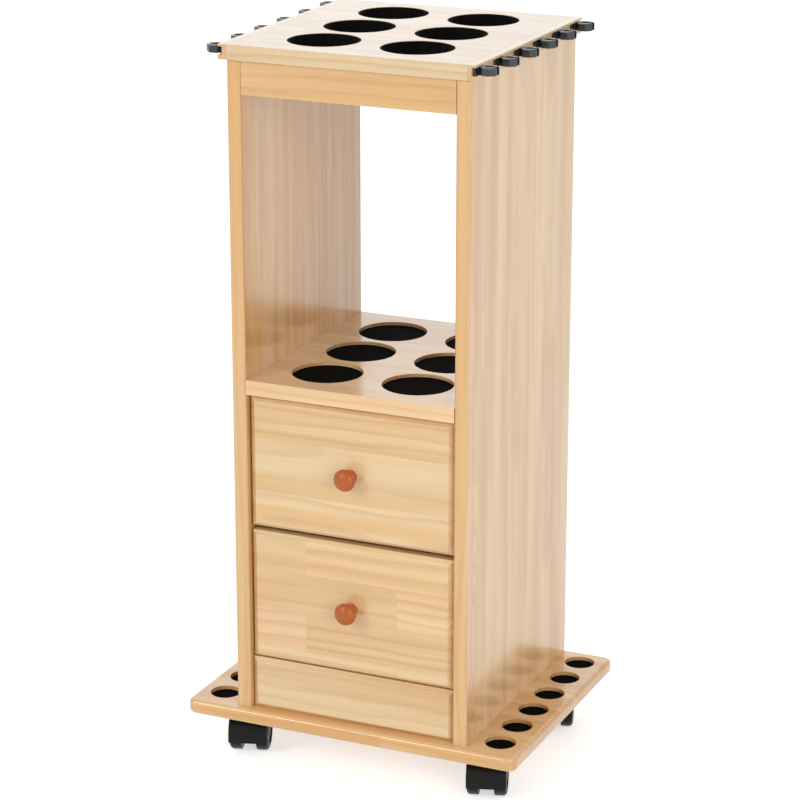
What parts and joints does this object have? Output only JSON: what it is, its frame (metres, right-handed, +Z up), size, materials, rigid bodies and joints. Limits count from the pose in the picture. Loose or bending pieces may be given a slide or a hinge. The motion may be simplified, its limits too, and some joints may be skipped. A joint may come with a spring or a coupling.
{
  "type": "rolling fishing rod rack with drawers",
  "caption": "Rolling pine rack for fishing rods: bored top board with edge clips, open bay, shelf with tube rests, drawers, and a base plate with rod butt rests on twin-wheel casters.",
  "frame": {"origin": "on the floor, under the middle of the overall box", "axes": "+X to the right, +Y to the back, +Z up; the drawers open towards -Y"},
  "size_m": [0.436, 0.3496, 0.899],
  "materials": {
    "lacquered_pine": "clear gloss lacquer",
    "drawer_box_pine": "bare sanded pine",
    "plywood": "bare",
    "beech": "bare",
    "stained_beech": "gloss lacquer",
    "black_felt": "felt",
    "black_rubber": "matte foam rubber",
    "clip_plastic": "satin",
    "caster_plastic": "satin",
    "zinc_steel": "bright zinc plate"
  },
  "bodies": {
    "cabinet": {"base_plate": "lacquered_pine", "left_side_panel": "lacquered_pine", "right_side_panel": "lacquered_pine", "top_board": "lacquered_pine", "left_clip_rail": "lacquered_pine", "right_clip_rail": "lacquered_pine", "front_rail": "lacquered_pine", "back_rail": "lacquered_pine", "shelf": "lacquered_pine", "kick_panel": "lacquered_pine", "back_panel": "plywood", "top_hole_liners": "black_felt", "shelf_pads": "black_rubber", "left_butt_pads": "black_rubber", "right_butt_pads": "black_rubber", "left_rod_clips": "clip_plastic", "right_rod_clips": "clip_plastic", "panel_dowels": "beech", "base_screws": "zinc_steel", "runner_screws": "zinc_steel", "caster_screws": "zinc_steel", "lower_left_runner": "beech", "lower_right_runner": "beech", "upper_left_runner": "beech", "upper_right_runner": "beech", "front_left_caster_plate": "zinc_steel", "front_right_caster_plate": "zinc_steel", "rear_left_caster_plate": "zinc_steel", "rear_right_caster_plate": "zinc_steel"},
    "lower_drawer": {"lower_drawer_front": "lacquered_pine", "lower_drawer_left_side": "drawer_box_pine", "lower_drawer_right_side": "drawer_box_pine", "lower_drawer_back": "drawer_box_pine", "lower_drawer_bottom": "plywood", "lower_drawer_knob": "stained_beech", "lower_drawer_knob_screw": "zinc_steel"},
    "upper_drawer": {"upper_drawer_front": "lacquered_pine", "upper_drawer_left_side": "drawer_box_pine", "upper_drawer_right_side": "drawer_box_pine", "upper_drawer_back": "drawer_box_pine", "upper_drawer_bottom": "plywood", "upper_drawer_knob": "stained_beech", "upper_drawer_knob_screw": "zinc_steel"},
    "front_left_caster": {"front_left_caster_hood": "caster_plastic", "front_left_caster_axle": "zinc_steel"},
    "front_left_caster_left_wheel": {"front_left_caster_left_wheel": "caster_plastic"},
    "front_left_caster_right_wheel": {"front_left_caster_right_wheel": "caster_plastic"},
    "front_right_caster": {"front_right_caster_hood": "caster_plastic", "front_right_caster_axle": "zinc_steel"},
    "front_right_caster_left_wheel": {"front_right_caster_left_wheel": "caster_plastic"},
    "front_right_caster_right_wheel": {"front_right_caster_right_wheel": "caster_plastic"},
    "rear_left_caster": {"rear_left_caster_hood": "caster_plastic", "rear_left_caster_axle": "zinc_steel"},
    "rear_left_caster_left_wheel": {"rear_left_caster_left_wheel": "caster_plastic"},
    "rear_left_caster_right_wheel": {"rear_left_caster_right_wheel": "caster_plastic"},
    "rear_right_caster": {"rear_right_caster_hood": "caster_plastic", "rear_right_caster_axle": "zinc_steel"},
    "rear_right_caster_left_wheel": {"rear_right_caster_left_wheel": "caster_plastic"},
    "rear_right_caster_right_wheel": {"rear_right_caster_right_wheel": "caster_plastic"}
  },
  "joints": [
    {"name": "lower_drawer_slide", "type": "slide", "parent": "cabinet", "child": "lower_drawer", "axis": [0, -1, 0], "range_m": [0, 0.22]},
    {"name": "upper_drawer_slide", "type": "slide", "parent": "cabinet", "child": "upper_drawer", "axis": [0, -1, 0], "range_m": [0, 0.22]},
    {"name": "front_left_caster_swivel", "type": "hinge", "parent": "cabinet", "child": "front_left_caster", "pos_m": [-0.16, -0.10225, 0.045], "axis": [0, 0, 1], "continuous": true},
    {"name": "front_left_caster_left_wheel_spin", "type": "hinge", "parent": "front_left_caster", "child": "front_left_caster_left_wheel", "pos_m": [-0.15691, -0.11176, 0.025], "axis": [0.9511, 0.309, 0], "continuous": true},
    {"name": "front_left_caster_right_wheel_spin", "type": "hinge", "parent": "front_left_caster", "child": "front_left_caster_right_wheel", "pos_m": [-0.15691, -0.11176, 0.025], "axis": [0.9511, 0.309, 0], "continuous": true},
    {"name": "front_right_caster_swivel", "type": "hinge", "parent": "cabinet", "child": "front_right_caster", "pos_m": [0.16, -0.10225, 0.045], "axis": [0, 0, 1], "continuous": true},
    {"name": "front_right_caster_left_wheel_spin", "type": "hinge", "parent": "front_right_caster", "child": "front_right_caster_left_wheel", "pos_m": [0.16309, -0.11176, 0.025], "axis": [0.9511, 0.309, 0], "continuous": true},
    {"name": "front_right_caster_right_wheel_spin", "type": "hinge", "parent": "front_right_caster", "child": "front_right_caster_right_wheel", "pos_m": [0.16309, -0.11176, 0.025], "axis": [0.9511, 0.309, 0], "continuous": true},
    {"name": "rear_left_caster_swivel", "type": "hinge", "parent": "cabinet", "child": "rear_left_caster", "pos_m": [-0.16, 0.11975, 0.045], "axis": [0, 0, 1], "continuous": true},
    {"name": "rear_left_caster_left_wheel_spin", "type": "hinge", "parent": "rear_left_caster", "child": "rear_left_caster_left_wheel", "pos_m": [-0.15691, 0.11024, 0.025], "axis": [0.9511, 0.309, 0], "continuous": true},
    {"name": "rear_left_caster_right_wheel_spin", "type": "hinge", "parent": "rear_left_caster", "child": "rear_left_caster_right_wheel", "pos_m": [-0.15691, 0.11024, 0.025], "axis": [0.9511, 0.309, 0], "continuous": true},
    {"name": "rear_right_caster_swivel", "type": "hinge", "parent": "cabinet", "child": "rear_right_caster", "pos_m": [0.16, 0.11975, 0.045], "axis": [0, 0, 1], "continuous": true},
    {"name": "rear_right_caster_left_wheel_spin", "type": "hinge", "parent": "rear_right_caster", "child": "rear_right_caster_left_wheel", "pos_m": [0.16309, 0.11024, 0.025], "axis": [0.9511, 0.309, 0], "continuous": true},
    {"name": "rear_right_caster_right_wheel_spin", "type": "hinge", "parent": "rear_right_caster", "child": "rear_right_caster_right_wheel", "pos_m": [0.16309, 0.11024, 0.025], "axis": [0.9511, 0.309, 0], "continuous": true}
  ]
}
